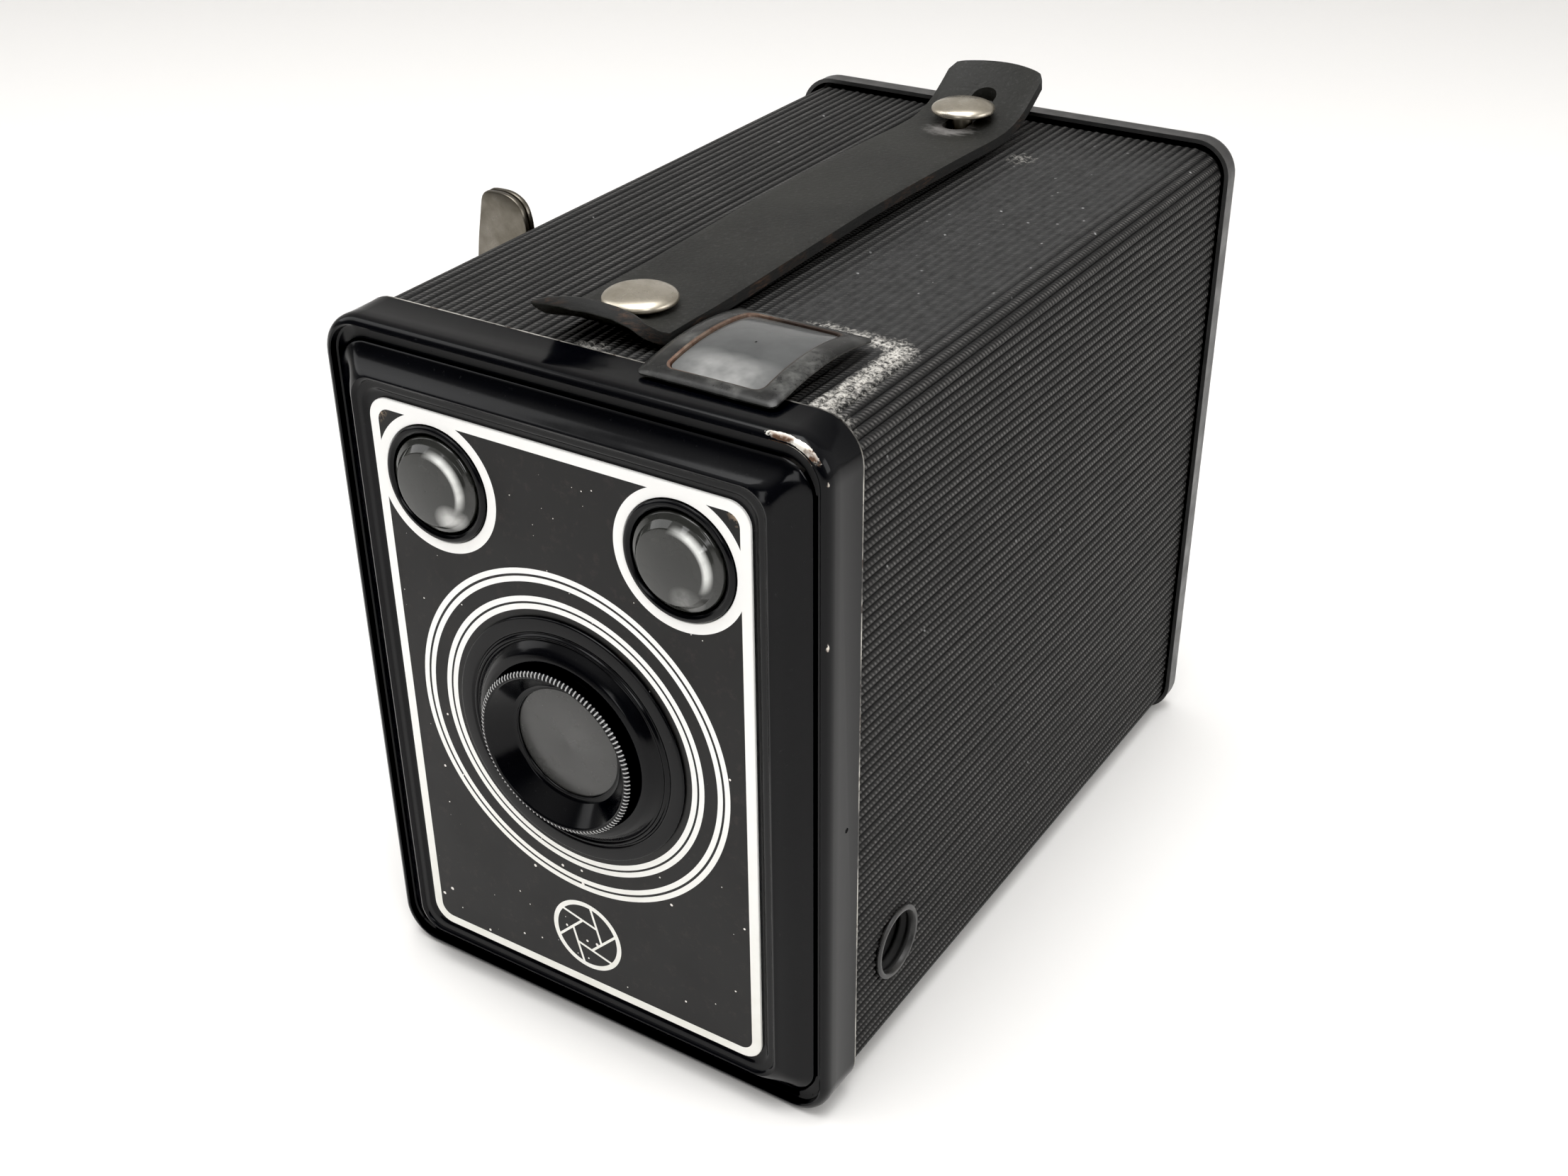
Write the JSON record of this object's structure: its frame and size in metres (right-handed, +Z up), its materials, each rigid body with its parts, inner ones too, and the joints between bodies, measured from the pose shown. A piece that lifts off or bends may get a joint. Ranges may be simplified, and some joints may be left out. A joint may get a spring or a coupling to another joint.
{
  "type": "box camera",
  "caption": "Vintage metal box camera with a round lens mount, reflecting finders, leather strap, winding key, film spools and a hinged back.",
  "frame": {"origin": "on the standing plane, under the middle of the front cover's flange, 5 mm behind its front rim", "axes": "+Z up; the lens looks along -Y; +X is the right of someone who faces the lens, and the winding key is at -X"},
  "size_m": [0.0937, 0.1379, 0.1185],
  "materials": {
    "enamel": "glossy black stove enamel, worn to bare metal along the edges",
    "litho": "satin dark printed plate with cream lines, chipped",
    "steel": "plain sheet steel, dull",
    "blackened": "matt black",
    "nickel": "nickel plated, slightly tarnished",
    "brass": "dull brass",
    "wood": "turned wood with metal end discs",
    "leather": "dark matt leather with raw brown edges",
    "leatherette": "black embossed leathercloth with fine ribs",
    "clear_glass": "polished, slightly dusty",
    "red_glass": "deep red transparent",
    "silvered": "surface silvered"
  },
  "bodies": {
    "case": {"front_cover": "enamel", "face_plate": "litho", "lens_bezel": "enamel", "knurled_ring": "enamel", "front_glass": "clear_glass", "shutter_plate": "steel", "lens_cell": "brass", "taking_lens": "clear_glass", "shutter_pivot": "brass", "lever_pivot": "brass", "lever_spring": "steel", "finder_ring_right": "enamel", "finder_lens_right": "clear_glass", "finder_housing_right": "blackened", "finder_mirror_right": "silvered", "window_frame_top": "blackened", "window_pane_top": "clear_glass", "finder_ring_left": "enamel", "finder_lens_left": "clear_glass", "finder_housing_left": "blackened", "finder_mirror_left": "silvered", "window_frame_side": "blackened", "window_pane_side": "clear_glass", "body_shell": "steel", "leatherette": "leatherette", "tripod_bush_side": "enamel", "tripod_bush_base": "enamel", "strap": "leather", "strap_stud_front": "nickel", "strap_stud_rear": "nickel", "film_carrier": "blackened", "takeup_pivot": "brass", "supply_pivot_right": "brass", "supply_pivot_left": "brass", "key_bush": "nickel", "hinge_leaf_case": "steel", "hinge_pin": "steel", "latch_catch": "steel"},
    "back_door": {"back_cover": "enamel", "hinge_leaf_back": "steel", "red_window": "red_glass", "cover_rivet": "nickel"},
    "back_latch": {"back_latch": "nickel"},
    "window_cover": {"window_cover": "enamel"},
    "key_slide": {"key_washer": "steel"},
    "winding_key": {"winding_key": "nickel"},
    "takeup_spool": {"takeup_spool": "wood"},
    "supply_spool": {"supply_spool": "wood"},
    "roller_top": {"roller_top": "nickel"},
    "roller_bottom": {"roller_bottom": "nickel"},
    "release_lever": {"release_lever": "nickel"},
    "shutter_disc": {"shutter_disc": "blackened"},
    "stop_slide": {"stop_slide": "nickel"},
    "time_tab": {"time_tab": "nickel"}
  },
  "joints": [
    {"name": "back_hinge", "type": "hinge", "parent": "case", "child": "back_door", "pos_m": [0, 0.1182, 0.00175], "axis": [-1, 0, 0], "range_deg": [0, 90]},
    {"name": "latch_slide", "type": "slide", "parent": "back_door", "child": "back_latch", "axis": [0, 0, 1], "range_m": [0, 0.0025]},
    {"name": "window_cover_swing", "type": "hinge", "parent": "back_door", "child": "window_cover", "pos_m": [0.018, 0.1246, 0.052], "axis": [0, 1, 0], "range_deg": [0, 80]},
    {"name": "key_pull", "type": "slide", "parent": "case", "child": "key_slide", "axis": [-1, 0, 0], "range_m": [0, 0.0064]},
    {"name": "key_turn", "type": "hinge", "parent": "key_slide", "child": "winding_key", "pos_m": [-0.045, 0.043, 0.0942], "axis": [1, 0, 0], "continuous": true},
    {"name": "takeup_turn", "type": "hinge", "parent": "case", "child": "takeup_spool", "pos_m": [0, 0.043, 0.0942], "axis": [1, 0, 0], "continuous": true},
    {"name": "supply_turn", "type": "hinge", "parent": "case", "child": "supply_spool", "pos_m": [0, 0.043, 0.0154], "axis": [1, 0, 0], "continuous": true},
    {"name": "roller_top_turn", "type": "hinge", "parent": "case", "child": "roller_top", "pos_m": [0, 0.112, 0.1022], "axis": [1, 0, 0], "continuous": true},
    {"name": "roller_bottom_turn", "type": "hinge", "parent": "case", "child": "roller_bottom", "pos_m": [0, 0.112, 0.0076], "axis": [1, 0, 0], "continuous": true},
    {"name": "release_press", "type": "hinge", "parent": "case", "child": "release_lever", "pos_m": [-0.026, -0.0012, 0.038], "axis": [0, -1, 0], "range_deg": [0, 16], "stiffness_Nm_per_rad": 0.02, "deforming": ["lever_spring"]},
    {"name": "shutter_turn", "type": "hinge", "parent": "case", "child": "shutter_disc", "pos_m": [0, 0.0008, 0.0395], "axis": [0, -1, 0], "range_deg": [0, 80]},
    {"name": "stop_pull", "type": "slide", "parent": "case", "child": "stop_slide", "axis": [-1, 0, 0], "range_m": [0, 0.013]},
    {"name": "time_pull", "type": "slide", "parent": "case", "child": "time_tab", "axis": [-1, 0, 0], "range_m": [0, 0.004]}
  ],
  "couplings": [
    {"joint": "takeup_turn", "follows": "key_turn", "ratio": 1},
    {"joint": "shutter_turn", "follows": "release_press", "ratio": 4.8}
  ]
}
